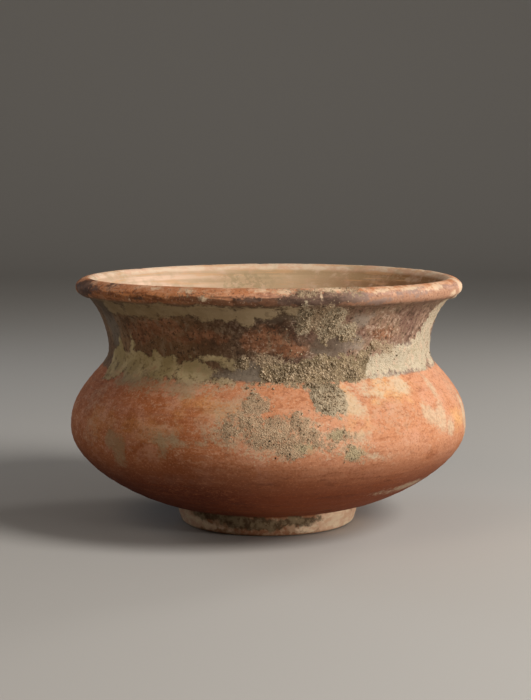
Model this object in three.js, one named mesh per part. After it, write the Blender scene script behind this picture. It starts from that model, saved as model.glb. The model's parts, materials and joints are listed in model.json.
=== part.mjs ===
// A squat, footed terracotta bowl, thrown on a wheel in one piece: a ring foot, a full belly that
// turns in at the shoulder, a hollow neck that flares to the mouth, and a thick rolled lip.
// Millimetres, +Z up. The foot stands on z = 0 and the Z axis runs through the middle of the belly.
import * as THREE from "three";

const radians = THREE.MathUtils.degToRad;

// Driving dimensions of the outside
const rimHeight = 137.4; // top of the lip above the table
const bellyRadius = 110; // the widest ring
const bellyHeight = 54.2; // height of the widest ring
const shoulderRadius = 93.3; // the corner where the shoulder meets the neck
const shoulderHeight = 88.4;
const throatRadius = 89; // the narrowest ring of the neck
const throatHeight = 98.6;
const lipRadius = 106.9; // outermost edge of the rolled lip
const lipThickness = 10.2; // height of the roll
const lipReach = 7; // from the crest of the roll to its outer edge

// Driving dimensions of the foot
const footRadius = 50.6; // where the foot meets the belly
const footHeight = 11;
const footEdgeRadius = 3.9; // rounding of the foot's lower edge
const footTaper = 1.7; // the foot narrows by this towards its base
const footLandWidth = 6.5; // the flat ring that the bowl stands on
const recessDepth = 6; // hollow inside the ring foot

// Driving dimensions of the clay
const wallThickness = 6.5;
const floorThickness = 8.5;

// How the outline bends. Angles are in degrees above the horizontal.
const undersideSlope = 12.5; // of the belly where it leaves the foot
const shoulderSlope = 48; // of the shoulder where it meets the neck
const neckBaseSlope = 58; // of the neck where it leaves the shoulder
const flareSlope = 35; // of the neck where it runs under the lip
const lipUndercut = 62; // how far the roll goes on round below its widest point

// How far each curve keeps the direction of its ends, as a share of its own width or height
const bend = {
  undersideOut: 0.5,
  undersideUp: 0.38,
  shoulderUp: 0.4,
  shoulderIn: 0.57,
  neckIn: 0.27,
  neckUp: 0.6,
  flareUp: 0.23,
  flareIn: 0.36,
  mouthUp: 0.35,
  mouthIn: 0.31,
  floorOut: 0.5,
  floorIn: 0.3,
};

// What the potter's hand left: small departures from a true circle, in millimetres
const footShift = -0.5; // the foot sits a little to the left of the belly
const mouthShift = 0.5; // and the mouth a little to the right
const mouthOval = 0.5; // the mouth is drawn out of round by this
const rimWave = 0.4; // the rim rises and dips by this
const rimCrest = radians(72); // where it is highest, as an angle round from the right

const segmentsAround = 72;

const point = (r, z) => new THREE.Vector2(r, z);

// A point that lies a given length away from another, at an angle above the horizontal.
function along(start, degrees, length) {
  const a = radians(degrees);
  return point(start.x + length * Math.cos(a), start.y + length * Math.sin(a));
}

// The main rings that the outline passes through, as radius and height.
const footTop = point(footRadius, footHeight);
const widest = point(bellyRadius, bellyHeight);
const corner = point(shoulderRadius, shoulderHeight);
const throat = point(throatRadius, throatHeight);
const rollCentre = point(lipRadius - lipReach, rimHeight - lipThickness / 2);
const crest = point(rollCentre.x, rimHeight);

// The neck ends under the roll, a little inside of where the roll's own curve starts.
const rollStart = point(
  rollCentre.x + lipReach * Math.cos(radians(lipUndercut)),
  rollCentre.y - (lipThickness / 2) * Math.sin(radians(lipUndercut)),
);
const lipRoot = point((rollCentre.x + rollStart.x) / 2, rollStart.y);

// The outside of the wall in four curves, from the foot up to the lip.
const underside = new THREE.CubicBezierCurve(
  footTop,
  along(footTop, undersideSlope, bend.undersideOut * (bellyRadius - footRadius)),
  point(bellyRadius, bellyHeight - bend.undersideUp * (bellyHeight - footHeight)),
  widest,
);
const shoulder = new THREE.CubicBezierCurve(
  widest,
  point(bellyRadius, bellyHeight + bend.shoulderUp * (shoulderHeight - bellyHeight)),
  along(corner, -shoulderSlope, bend.shoulderIn * (shoulderHeight - bellyHeight)),
  corner,
);
const neckBase = new THREE.CubicBezierCurve(
  corner,
  along(corner, 180 - neckBaseSlope, bend.neckIn * (throatHeight - shoulderHeight)),
  point(throatRadius, throatHeight - bend.neckUp * (throatHeight - shoulderHeight)),
  throat,
);
const flare = new THREE.CubicBezierCurve(
  throat,
  point(throatRadius, throatHeight + bend.flareUp * (lipRoot.y - throatHeight)),
  along(lipRoot, 180 + flareSlope, bend.flareIn * (lipRoot.y - throatHeight)),
  lipRoot,
);

// The outside of the foot, from its standing ring up to the belly.
function footOutline() {
  const baseRadius = footRadius - footTaper;
  const outline = new THREE.Path();
  outline.moveTo(baseRadius - footEdgeRadius, 0);
  outline.quadraticCurveTo(baseRadius, 0, baseRadius + 0.2 * footTaper, footEdgeRadius);
  outline.quadraticCurveTo(footRadius, 0.6 * footHeight, footTop.x, footTop.y);
  return outline.getPoints(3);
}

// The hollow under the foot, from the axis out to the standing ring.
function recessOutline() {
  const landInner = footRadius - footTaper - footEdgeRadius - footLandWidth;
  const recess = new THREE.Path();
  recess.moveTo(0, recessDepth);
  recess.lineTo(landInner - 2 * recessDepth, recessDepth);
  recess.quadraticCurveTo(landInner - 0.3 * recessDepth, recessDepth, landInner, 0);
  return recess.getPoints(3);
}

// The rolled lip, from under its outer edge over to the crest.
function lipOutline() {
  const roll = new THREE.EllipseCurve(
    rollCentre.x,
    rollCentre.y,
    lipReach,
    lipThickness / 2,
    -radians(lipUndercut),
    Math.PI / 2,
  );
  return roll.getPoints(8);
}

// The inside of a stretch of wall: its outside moved in by the wall's thickness.
function insideOf(curve, divisions) {
  return curve.getPoints(divisions).map((p, i) => {
    const t = curve.getTangent(i / divisions);
    return point(p.x - wallThickness * t.y, p.y + wallThickness * t.x);
  });
}

// The inside of the bowl, from the crest of the lip down to the middle of the floor.
function insideOutline() {
  const innerThroat = point(throatRadius - wallThickness, throatHeight);
  const mouth = new THREE.CubicBezierCurve(
    innerThroat,
    point(innerThroat.x, throatHeight + bend.mouthUp * (rimHeight - throatHeight)),
    along(crest, 180 + flareSlope, bend.mouthIn * (rimHeight - throatHeight)),
    crest,
  );
  const belly = [
    ...insideOf(underside, 7),
    ...insideOf(shoulder, 5).slice(1),
    ...insideOf(neckBase, 3).slice(1, -1),
  ];
  const floorHeight = recessDepth + floorThickness;
  const floor = new THREE.CubicBezierCurve(
    point(0, floorHeight),
    point(bend.floorOut * footRadius, floorHeight),
    along(belly[0], 180 + undersideSlope, bend.floorIn * footRadius),
    belly[0],
  );
  const upward = [...floor.getPoints(4), ...belly.slice(1), ...mouth.getPoints(6)];
  return upward.reverse();
}

// Joins the stretches into one outline, without the points that two stretches share.
function joined(...stretches) {
  const all = stretches.flat();
  const apart = (a, b) => a.distanceTo(b) > 1e-3;
  return all.filter((p, i) => i === 0 || apart(p, all[i - 1]));
}

const outline = joined(
  recessOutline(),
  footOutline(),
  underside.getPoints(9),
  shoulder.getPoints(7),
  neckBase.getPoints(3),
  flare.getPoints(6),
  lipOutline(),
  insideOutline(),
);

// Moves every ring of the true turned shape to where the potter left it.
function setByHand(geometry) {
  const { smoothstep } = THREE.MathUtils;
  const place = geometry.attributes.position;
  for (let i = 0; i < place.count; i++) {
    const x = place.getX(i);
    const y = place.getY(i);
    const z = place.getZ(i);
    const angle = Math.atan2(y, x);
    const low = 1 - smoothstep(z, bellyHeight / 2, bellyHeight);
    const high = smoothstep(z, bellyHeight, shoulderHeight);
    const rim = smoothstep(z, throatHeight, rimHeight);
    const stretch = 1 + (mouthOval / throatRadius) * high * Math.sin(2 * angle);
    const wave = Math.cos(2 * (angle - rimCrest));
    place.setXYZ(
      i,
      x * stretch + footShift * low + mouthShift * high,
      y * stretch,
      z + rimWave * rim * wave,
    );
  }
}

function makeBowl() {
  const geometry = new THREE.LatheGeometry(outline, segmentsAround);
  geometry.rotateX(Math.PI / 2);
  setByHand(geometry);
  geometry.computeVertexNormals();
  const terracotta = new THREE.MeshStandardMaterial({
    color: 0xb4694a,
    roughness: 0.9,
    metalness: 0,
  });
  const bowl = new THREE.Mesh(geometry, terracotta);
  bowl.name = "bowl";
  return bowl;
}

const group = new THREE.Group();
group.add(makeBowl());

export default group;
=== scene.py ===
# %% [markdown]
# # A weathered terracotta bowl
#
# The bowl was thrown on a wheel in one piece: a ring foot, a full belly, a hollow neck and a rolled
# lip. It lay in the ground for a long time, so the orange clay carries a burnt brown neck, a film of
# dried mud and crusts of gritty soil. The solid that comes with the frame gives the exact form. This
# lesson turns that form again as a finer wall, raises the soil on it, and paints all of it with
# procedural materials.

# %% Frame
import json
import math

import bpy
import numpy as np
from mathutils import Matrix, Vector, noise

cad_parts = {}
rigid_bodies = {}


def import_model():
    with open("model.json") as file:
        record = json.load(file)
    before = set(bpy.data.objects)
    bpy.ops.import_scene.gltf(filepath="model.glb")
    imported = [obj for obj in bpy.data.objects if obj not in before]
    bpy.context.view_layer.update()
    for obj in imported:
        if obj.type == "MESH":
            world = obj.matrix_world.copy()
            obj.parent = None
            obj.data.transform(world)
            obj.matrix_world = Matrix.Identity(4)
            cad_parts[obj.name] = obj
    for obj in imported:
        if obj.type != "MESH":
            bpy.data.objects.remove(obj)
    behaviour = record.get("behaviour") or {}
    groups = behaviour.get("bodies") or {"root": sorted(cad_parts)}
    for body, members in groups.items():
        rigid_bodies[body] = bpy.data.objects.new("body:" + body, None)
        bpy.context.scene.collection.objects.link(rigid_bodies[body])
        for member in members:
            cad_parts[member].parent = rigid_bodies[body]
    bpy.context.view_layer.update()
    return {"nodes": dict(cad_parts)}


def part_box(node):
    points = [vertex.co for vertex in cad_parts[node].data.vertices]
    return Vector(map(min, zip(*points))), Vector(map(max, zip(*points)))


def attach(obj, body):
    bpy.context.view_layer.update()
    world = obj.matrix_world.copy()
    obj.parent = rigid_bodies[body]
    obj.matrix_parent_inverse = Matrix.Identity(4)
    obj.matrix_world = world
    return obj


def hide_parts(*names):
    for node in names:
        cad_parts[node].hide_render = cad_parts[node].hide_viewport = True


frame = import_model()
solid = frame["nodes"]["bowl"]
mm = 0.001

# %% [markdown]
# A few steps come back all through the lesson: choosing the piece to work on, going into edit mode and
# back, adding an object to the scene and starting a material.


# %% Small helpers
def deselect_all():
    for each in bpy.context.view_layer.objects:
        each.select_set(False)


def make_active(piece):
    deselect_all()
    piece.select_set(True)
    bpy.context.view_layer.objects.active = piece


def edit_mode():
    bpy.ops.object.mode_set(mode="EDIT")


def object_mode():
    bpy.ops.object.mode_set(mode="OBJECT")


def add(name, data):
    piece = bpy.data.objects.new(name, data)
    bpy.context.collection.objects.link(piece)
    return piece


def new_material(name, roughness, specular=0.5):
    """A material, and its shader with the constants set."""
    material = bpy.data.materials.new(name)
    material.use_nodes = True
    shader = material.node_tree.nodes["Principled BSDF"]
    shader.inputs["Roughness"].default_value = roughness
    shader.inputs["Specular IOR Level"].default_value = specular
    return material, shader


# %% [markdown]
# The photograph was taken from a little above the rim, from about four bowl widths away. A long lens
# keeps the rim's ellipse as flat as it is there. The camera is tilted a few degrees down and is not
# shifted.

# %% Camera
LENS = 88
DISTANCE = 0.95
EYE_HEIGHT = 0.2022
STEP_LEFT = 0.0015
DOWN_TILT = 6.4

camera_data = bpy.data.cameras.new("camera")
camera_data.sensor_width = 36
camera_data.lens = LENS
camera = add("camera", camera_data)
camera.location = (-STEP_LEFT, -DISTANCE, EYE_HEIGHT)
camera.rotation_euler = (math.radians(90 - DOWN_TILT), 0, 0)
bpy.context.scene.camera = camera
print("camera:", tuple(camera.location), "lens", LENS)

# %% [markdown]
# ## Stage and light
#
# The floor is a plain pale sweep that curves up behind the bowl, as a paper roll does in a studio, so
# no horizon line crosses the picture. It is a plane whose far edge is extruded back and up in steps.

# %% Floor
FLOOR_SIZE = 4
FLOOR_GAP = 0.0003
SWEEP_STEPS = 12
SWEEP_RADIUS = 0.9
WALL_RISE = 3
PAPER = (0.46, 0.445, 0.42)

deselect_all()
bpy.ops.mesh.primitive_plane_add(size=FLOOR_SIZE, location=(0, 0, -FLOOR_GAP))
floor = bpy.context.object
floor.name = "floor"
edit_mode()
bpy.ops.mesh.select_all(action="DESELECT")
object_mode()
for vertex in floor.data.vertices:
    vertex.select = vertex.co.y > 0
for edge in floor.data.edges:
    edge.select = all(floor.data.vertices[i].select for i in edge.vertices)
edit_mode()
length = SWEEP_RADIUS * math.radians(90) / SWEEP_STEPS
for step in range(SWEEP_STEPS):
    lean = math.radians(90) * (step + 0.5) / SWEEP_STEPS
    move = (0, length * math.cos(lean), length * math.sin(lean))
    bpy.ops.mesh.extrude_region_move(TRANSFORM_OT_translate={"value": move})
bpy.ops.mesh.extrude_region_move(TRANSFORM_OT_translate={"value": (0, 0, WALL_RISE)})
object_mode()
bpy.ops.object.transform_apply(location=True, rotation=True, scale=True)
bpy.ops.object.shade_smooth()
paper, shader = new_material("pale_floor", 0.9)
shader.inputs["Base Color"].default_value = (*PAPER, 1)
floor.data.materials.append(paper)
print("floor:", len(floor.data.polygons), "faces")

# %% [markdown]
# One large soft lamp stands to the right and well above the rim, so the right side glows, the neck and
# the underside fall into shade and every grain of the crust throws a small shadow. A weak warm lamp
# high on the left keeps the shaded side readable, and a low one at the right reaches the foot. Two
# small lamps behind draw the edges, a cool one at the left and a neutral one at the right.

# %% Lights
LIT_POINT = Vector((0, 0, 0.07))


def soft_lamp(name, location, size, watts, color):
    data = bpy.data.lights.new(name, "AREA")
    data.shape = "DISK"
    data.size = size
    data.energy = watts
    data.color = color
    lamp = add(name, data)
    lamp.location = location
    lamp.rotation_euler = (LIT_POINT - lamp.location).to_track_quat("-Z", "Y").to_euler()


lamps = {
    # name: place, width, watts, color
    "key_lamp": ((0.92, -0.66, 0.90), 0.6, 17.5, (1.0, 0.97, 0.93)),
    "fill_lamp": ((-0.75, -0.85, 1.0), 0.8, 2.4, (1.0, 0.80, 0.62)),
    "left_edge_lamp": ((-0.85, 0.55, 0.45), 0.4, 1.2, (0.75, 0.86, 1.0)),
    "right_edge_lamp": ((0.80, 0.62, 0.50), 0.3, 2.2, (1.0, 0.97, 0.94)),
    "foot_lamp": ((1.00, -0.55, 0.17), 0.25, 4.2, (1.0, 0.95, 0.90)),
}
for name, settings in lamps.items():
    soft_lamp(name, *settings)
print("lamps:", len(lamps))

# %% World
SKY = (1.0, 0.93, 0.86, 1)
SKY_STRENGTH = 0.10

world = bpy.data.worlds.new("world")
world.use_nodes = True
background = world.node_tree.nodes["Background"]
background.inputs["Color"].default_value = SKY
background.inputs["Strength"].default_value = SKY_STRENGTH
bpy.context.scene.world = world
bpy.context.scene.view_settings.view_transform = "Standard"

# %% [markdown]
# ## The outline of the wall
#
# A thrown bowl is one outline turned round an axis. The solid already holds that outline, so a copy of
# its mesh is merged and cut down to the vertices that lie on the right-hand side of the axis. What is
# left is one chain of edges, from under the foot, over the lip and down to the middle of the floor.

# %% Section of the solid
MERGE = 0.01 * mm
OFF_PLANE = 0.05 * mm
PAST_AXIS = 0.7 * mm

section_piece = solid.copy()
section_piece.data = solid.data.copy()
section_piece.parent = None
section_piece.name = "section"
bpy.context.collection.objects.link(section_piece)
make_active(section_piece)
edit_mode()
bpy.ops.mesh.select_all(action="SELECT")
bpy.ops.mesh.remove_doubles(threshold=MERGE)
bpy.ops.mesh.select_all(action="DESELECT")
object_mode()
for vertex in section_piece.data.vertices:
    x, y, z = vertex.co
    vertex.select = abs(y) > OFF_PLANE or x < -PAST_AXIS
edit_mode()
bpy.ops.mesh.delete(type="VERT")
object_mode()
print("vertices on the section:", len(section_piece.data.vertices))

# %% [markdown]
# The mesh keeps its vertices in no useful order, so the chain is walked from one end to the other.


# %% Order of the section
def chain_of(mesh):
    """The chain's points in order, from the lower end on the axis to the upper one."""
    neighbours = {v.index: [] for v in mesh.vertices}
    for edge in mesh.edges:
        a, b = edge.vertices
        neighbours[a].append(b)
        neighbours[b].append(a)
    ends = [i for i, near in neighbours.items() if len(near) == 1]
    here = min(ends, key=lambda i: mesh.vertices[i].co.z)
    order, before = [here], None
    while True:
        onward = [i for i in neighbours[here] if i != before]
        if not onward:
            return np.array([mesh.vertices[i].co[:] for i in order])[:, [0, 2]] / mm
        before, here = here, onward[0]
        order.append(here)


section = chain_of(section_piece.data)
bpy.data.objects.remove(section_piece)
print("section in millimetres, first and last:", section[0], section[-1])

# %% [markdown]
# The clay was also pushed out of true by the potter's hand. Those small departures are known, so they
# are taken off the section first and put back once the finer wall is turned. The numbers are the same
# as in the solid.

# %% Departures from a true circle
FOOT_SHIFT = -0.5
MOUTH_SHIFT = 0.5
MOUTH_OVAL = 0.5
RIM_WAVE = 0.4
RIM_CREST = math.radians(72)
RIM_HEIGHT = 137.4
SHOULDER_HEIGHT = 88.4

crest_row = int(np.argmax(section[:, 1]))
widest_row = int(np.argmax(section[:, 0]))
BELLY_RADIUS, BELLY_HEIGHT = section[widest_row]
neck_rows = range(widest_row, crest_row)
throat_row = min(neck_rows, key=lambda i: section[i, 0])
THROAT_RADIUS = section[throat_row, 0] - MOUTH_SHIFT
THROAT_HEIGHT = section[throat_row, 1]
print("belly", BELLY_RADIUS, BELLY_HEIGHT, "throat", THROAT_RADIUS, THROAT_HEIGHT)


def smoothstep(value, low, high):
    t = np.clip((value - low) / (high - low), 0, 1)
    return t * t * (3 - 2 * t)


def sideways(z):
    low = 1 - smoothstep(z, BELLY_HEIGHT / 2, BELLY_HEIGHT)
    high = smoothstep(z, BELLY_HEIGHT, SHOULDER_HEIGHT)
    return FOOT_SHIFT * low + MOUTH_SHIFT * high


def rim_rise(angle, z):
    return RIM_WAVE * smoothstep(z, THROAT_HEIGHT, RIM_HEIGHT) * np.cos(2 * (angle - RIM_CREST))


profile = section.copy()
profile[:, 0] -= sideways(section[:, 1])
profile[:, 1] -= rim_rise(0.0, section[:, 1])
profile[[0, -1], 0] = 0

# %% [markdown]
# The solid's outline has points several millimetres apart. A curve through them gives as many rows as
# the finish needs: about one millimetre apart outside, where crusts, ridges and chips show, and wider
# inside and under the foot. The standing ring is where the outside starts.


# %% Finer outline
def curve_through(points, spacing):
    """Points on a smooth curve through the given ones, spaced by a function of row and place."""
    steps = np.hypot(*np.diff(points, axis=0).T)
    run = np.concatenate([[0], np.cumsum(steps)])
    slope = np.gradient(points, run, axis=0)
    fine, rows = [], []
    for i in range(len(points) - 1):
        length = run[i + 1] - run[i]
        count = max(1, round(length / spacing(i)))
        t = (np.arange(count) / count)[:, None]
        a, b = points[i], points[i + 1]
        ta, tb = slope[i] * length, slope[i + 1] * length
        h1 = 2 * t**3 - 3 * t**2 + 1
        h2 = t**3 - 2 * t**2 + t
        h3 = -2 * t**3 + 3 * t**2
        h4 = t**3 - t**2
        fine.append(h1 * a + h2 * ta + h3 * b + h4 * tb)
        rows.extend(i + t[:, 0])
    fine.append(points[-1:])
    rows.append(len(points) - 1)
    return np.vstack(fine), np.array(rows)


# %% Spacing of the rows
ON_THE_FLOOR = 0.01
IN_THE_RECESS = 30
OUTSIDE_SPACING = 0.98
INSIDE_SPACING = 5.0
UNDER_SPACING = 4.0
MOUTH_SPACING = 2.2
MOUTH_ROWS = 4

foot_row = int(np.argmax((profile[:, 1] < ON_THE_FLOOR) & (profile[:, 0] > IN_THE_RECESS)))


def row_spacing(i):
    if i < foot_row:
        return UNDER_SPACING
    if i < crest_row:
        return OUTSIDE_SPACING
    if i < crest_row + MOUTH_ROWS:
        return MOUTH_SPACING
    return INSIDE_SPACING


outline, outline_row = curve_through(profile, row_spacing)
outline[0, 0] = outline[-1, 0] = 0
outside_rows = (outline_row >= foot_row) & (outline_row <= crest_row)
print("rows:", len(outline), "outside:", int(outside_rows.sum()))

# %% [markdown]
# ## Turning the wall
#
# The outline becomes a chain of edges in a new mesh, and spin turns it round the axis, as the wheel
# did. Merging the doubles closes the seam and the two poles.

# %% Spin
COLUMNS = 384
SEAM = 0.004 * mm

chain = bpy.data.meshes.new("terracotta_bowl")
points = [(r * mm, 0, z * mm) for r, z in outline]
chain.from_pydata(points, [(i, i + 1) for i in range(len(points) - 1)], [])
bowl = add("terracotta_bowl", chain)
make_active(bowl)
edit_mode()
bpy.ops.mesh.select_all(action="SELECT")
bpy.ops.mesh.spin(steps=COLUMNS, angle=2 * math.pi, center=(0, 0, 0), axis=(0, 0, 1))
bpy.ops.mesh.select_all(action="SELECT")
bpy.ops.mesh.remove_doubles(threshold=SEAM)
bpy.ops.mesh.normals_make_consistent(inside=False)
object_mode()
bpy.ops.object.shade_smooth()
print("wall:", len(bowl.data.vertices), "vertices,", len(bowl.data.polygons), "faces")

# %% [markdown]
# Later steps ask whether a vertex lies outside or inside, so each one is given the outline row that it
# came from. The row is looked up once for each place on the outline.

# %% Places on the wall
count = len(bowl.data.vertices)
place = np.empty(count * 3)
bowl.data.vertices.foreach_get("co", place)
place = place.reshape(-1, 3) / mm
radius = np.hypot(place[:, 0], place[:, 1])
height = place[:, 2].copy()


def row_of(r, z):
    """The outline row that a turned vertex came from."""
    near = np.hypot(outline[:, 0] - r, outline[:, 1] - z)
    return int(np.argmin(near))


known = {}
row = np.empty(count, dtype=int)
for i, (r, z) in enumerate(zip(radius, height)):
    key = (round(r, 2), round(z, 2))
    if key not in known:
        known[key] = row_of(r, z)
    row[i] = known[key]
level = outline_row[row]
outside = (level >= foot_row) & (level <= crest_row + 0.5)
inside = level > crest_row + 0.5
print("rows found for", count, "vertices from", len(known), "places")

# %% [markdown]
# The soil and the burnt neck show best from the front, so the columns are gathered there: each one
# turns a little towards the front, which halves their spacing there and widens it behind.

# %% Gathering the columns
FRONT = -math.pi / 2
GATHER = 0.5
from_front = np.mod(np.arctan2(place[:, 1], place[:, 0]) - FRONT + math.pi, 2 * math.pi) - math.pi
from_front = from_front - GATHER * np.sin(from_front)
angle = FRONT + from_front
print("columns gathered by up to", round(math.degrees(GATHER)), "degrees")

# %% [markdown]
# Two more things are needed at each vertex: the wall's own normal, as a step outwards and a step up,
# and noise in three sizes, which makes every edge and every lump irregular.

# %% Normals and noise
tangent = np.gradient(outline, axis=0)
tangent /= np.hypot(*tangent.T)[:, None]
normal_r = tangent[row, 1]
normal_z = -tangent[row, 0]


def grain(size, seed, octaves=3):
    """Smooth noise from about -1 to 1 whose lumps are about size millimetres across."""
    x = radius * np.cos(angle) / size + 17.3 * seed
    y = radius * np.sin(angle) / size - 9.1 * seed
    z = height / size + 4.7 * seed
    values = [
        noise.fractal(Vector(p), 1.0, 2.0, octaves, noise_basis="PERLIN_ORIGINAL")
        for p in zip(x, y, z)
    ]
    return np.array(values)


broad_grain = grain(26, 1)
middle_grain = grain(9, 2, 4)
fine_grain = grain(3.2, 3)
print("noise from", round(float(broad_grain.min()), 2), "to", round(float(broad_grain.max()), 2))

# %% [markdown]
# ## Where the soil lies
#
# Each stain is a listed patch: its angle round the bowl, with 0 at the right and -90 at the front, its
# height, its half width and half height, and its turn, in degrees and millimetres. A field holds the
# distance to the nearest patch's edge, positive inside, and noise makes that edge ragged. A thin stain
# is capped at a small distance, so that the material's own noise can break it up all over.


# %% Fields
FAR_OUT = -9.0
MIDDLE_SHARE = 2.2
FINE_SHARE = 1.3


def field_of(patches, ragged=1.0, cap=9.0):
    """Distance in millimetres to the patches' edges, positive inside and at most the cap."""
    field = np.full(count, FAR_OUT)
    for at, up, wide, tall, *turn in patches:
        tilt = math.radians(turn[0]) if turn else 0
        across = np.mod(angle - math.radians(at) + math.pi, 2 * math.pi) - math.pi
        across = across * radius
        rise = height - up
        u = across * math.cos(tilt) + rise * math.sin(tilt)
        v = rise * math.cos(tilt) - across * math.sin(tilt)
        d = np.sqrt((u / wide) ** 2 + (v / tall) ** 2)
        field = np.maximum(field, (1 - d) * min(wide, tall))
    field = field + ragged * (MIDDLE_SHARE * middle_grain + FINE_SHARE * fine_grain)
    return np.where(outside, np.minimum(field, cap), FAR_OUT)


# %% Crust and thin soil
crust_patches = [
    # the heavy band at the foot of the neck, right of the middle
    (-84, 93.5, 13, 5.5, 4), (-72, 95, 15, 7.4), (-63, 95, 9, 7.5, -18), (-58, 98, 5, 6, -30),
    # the column that runs down from it over the shoulder
    (-73, 82, 8.5, 9), (-72, 75.5, 7, 4),
    # the strip just under the corner
    (-84, 88.2, 14, 1.6),
    # grit that hangs from the lip, on both sides of a bare streak
    (-79.5, 121, 3.6, 7, 5), (-70.5, 119.5, 6.5, 9, -12), (-65, 114.5, 5, 4.5, -30),
    # one lump at the foot of the neck
    (-98.5, 98, 3.4, 2.8),
]

thin_patches = [
    # the patch left of the bare window, and the broad patch under it
    (-93.5, 78.5, 6, 5), (-95, 71, 9, 4.5), (-86, 70, 12, 4.5), (-90, 64, 13, 5.5),
    (-84, 57, 9, 4), (-100, 68, 6, 3), (-79, 65, 6, 4, -30), (-76, 61, 7, 2.6, -25),
    # the small ones at its right
    (-71.5, 63.8, 7, 2.8, -12), (-66.5, 54.5, 8, 3.6, -8),
    # thin grit above the heavy band and in the middle of the neck
    (-91, 100, 9, 3), (-52, 106, 10, 2, -15),
    # thin grit round the hanging soil, and crumbs on the crest of the lip
    (-74, 122, 13, 7), (-67, 116.5, 7, 4), (-86.4, 136.2, 3.4, 1.4), (-78, 136.6, 3.0, 1.1),
    (-82, 136, 2, 1), (-72, 136.8, 5, 1.3), (-65, 137, 3, 0.9), (-113.5, 135, 2.4, 1.4),
    (-107.8, 132.6, 1.8, 1.2),
]

# %% [markdown]
# Mud dried as a cream band at the right and as a smooth film at the left. Smears of it lie on the
# shoulder and the belly, a veil of dust lies round them, and single grains lie round the thin soil.

# %% Mud, smears and single grains
band_patches = [
    # the cream band at the right
    (-54, 95.5, 16, 5.5), (-40, 97.5, 16, 7.5), (-26, 99, 14, 11), (-21, 110, 9, 13, 15),
    (-12, 98, 8, 9), (-17, 119, 7, 10),
]

film_patches = [
    # under the lip at the left, with a scalloped lower edge
    (-146, 124, 10, 4), (-134, 124, 14, 4), (-121, 125, 14, 3.2), (-106, 124.5, 16, 4.4),
    (-97, 123, 5, 5), (-92, 124.6, 9, 3.2), (-84, 125.8, 9, 2.2),
    # the smooth low band at the left, with points that reach up
    (-153, 93.5, 13, 9), (-140, 94, 13, 7.5), (-128, 94.5, 14, 6.5), (-116, 93.5, 14, 6),
    (-151, 101, 2.6, 6, 8), (-143.5, 102, 2.2, 5, -8), (-131, 99, 3, 4, 15),
    (-110, 100.5, 10, 2.2), (-103, 97.5, 5, 1.8), (-107, 89.5, 9, 1.6),
]

smear_patches = [
    # on the belly at the left
    (-135, 52, 4.5, 8, -15), (-138, 58, 4, 5, -20), (-116, 61, 4.0, 3.0), (-111, 60.2, 7, 0.8),
    (-119, 57, 3, 5, 10),
    # on the shoulder, under the corner
    (-140, 86, 16, 2.4), (-117, 85.5, 8, 3.2), (-128, 87.8, 16, 1.2),
    # on the belly at the right
    (-59.5, 85, 3, 3.8, -20), (-56, 82, 3, 2, -20), (-44.5, 84, 5.5, 3.6, -25),
    (-38, 70, 5.5, 5.0, -40), (-33, 66, 6, 7.5, -35), (-28, 61, 5, 4.5, -30),
    (-30, 78, 2.5, 7, -10), (-65.0, 76.5, 6, 5, -20), (-66, 63, 4, 2), (-61, 52.5, 6, 2, -8),
    (-36, 29, 12, 1.8), (-11, 62, 6, 12),
]

veil_patches = [
    # thin dust, through which the clay shows
    (-152, 76, 6, 9, -25), (-149, 58, 7, 8, -20), (-119, 64, 9, 4), (-60, 52, 10, 2, -8),
    (-14, 70, 8, 14), (-52, 72, 12, 7), (-100, 81, 9, 4), (-104, 70, 13, 8), (-99, 62, 9, 5),
    (-47, 84, 9, 4),
]

sparse_patches = [
    # single grains of soil, with the clay between them
    (-98, 75, 11, 8), (-101, 66, 10, 6), (-88, 62, 17, 9), (-82, 68, 12, 4), (-74, 62, 10, 5),
    (-68, 57, 7, 3.5), (-66, 78, 7, 7), (-60, 85, 10, 3), (-46, 85, 6, 3), (-118, 60, 7, 3),
    (-130, 86, 24, 3.2), (-108, 87, 12, 2),
]

# %% [markdown]
# The clay itself changes color: ochre on the shoulder, and grey and red places on the burnt neck. The
# lip has dark and pale places, a few lumps of soil are green, and the foot is dirty in front.

# %% Colors of the clay, lip and foot
yellow_patches = [
    (-50, 84, 14, 6), (-127, 64, 18, 6), (-146, 66, 10, 9), (-108, 77, 12, 4), (-66, 77, 5, 8),
    (-20, 62, 9, 6),
]

grey_patches = [
    (-98, 94, 13, 6), (-107, 91.5, 12, 3.5), (-69, 106.5, 11, 7), (-60, 108, 5, 4),
    (-155, 114, 9, 14), (-88, 123.5, 13, 3.2), (-60, 121, 7, 3.5), (-35, 104, 6, 2.5),
    (-44, 90.6, 24, 1.3),
]

red_patches = [
    (-128, 115.5, 17, 4.5), (-121, 110.3, 8, 1.3), (-110, 112, 9, 3), (-92, 110, 12, 5.5),
    (-84, 105, 9, 4), (-138, 112, 8, 5), (-52, 113, 10, 4), (-90, 116, 5, 2),
]

lip_dark_patches = [
    (-160, 133, 16, 4.6), (-150, 134.6, 7, 1.6), (-77, 132.6, 20, 3.9), (-66, 132.5, 9, 2.4, 5),
    (-58, 130.5, 8, 1.6, 5), (-47, 134.8, 8, 0.9, 5), (-41, 133, 5, 0.6, 5),
    (-142, 136, 5, 0.8), (-128, 131, 4, 0.9), (-96, 132, 5, 1.2),
]

lip_pale_patches = [
    (-11, 133, 9, 5), (-86.5, 136, 3.6, 1.2), (-92, 136.6, 3, 0.7), (-113, 135.8, 3.6, 0.9),
    (-107.8, 132.4, 2.2, 1.2), (-75.9, 133.6, 0.4, 3.2, 4), (-73, 136.8, 6, 0.9),
    (-132, 130.4, 0.7, 1.2), (-124, 136.4, 4, 0.7), (-56, 136, 8, 0.9, 4),
    (-46, 136.3, 6, 0.9, 4), (-34, 135.6, 9, 1.2, 4), (-22, 131, 5, 1.6, 4),
]

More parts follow.
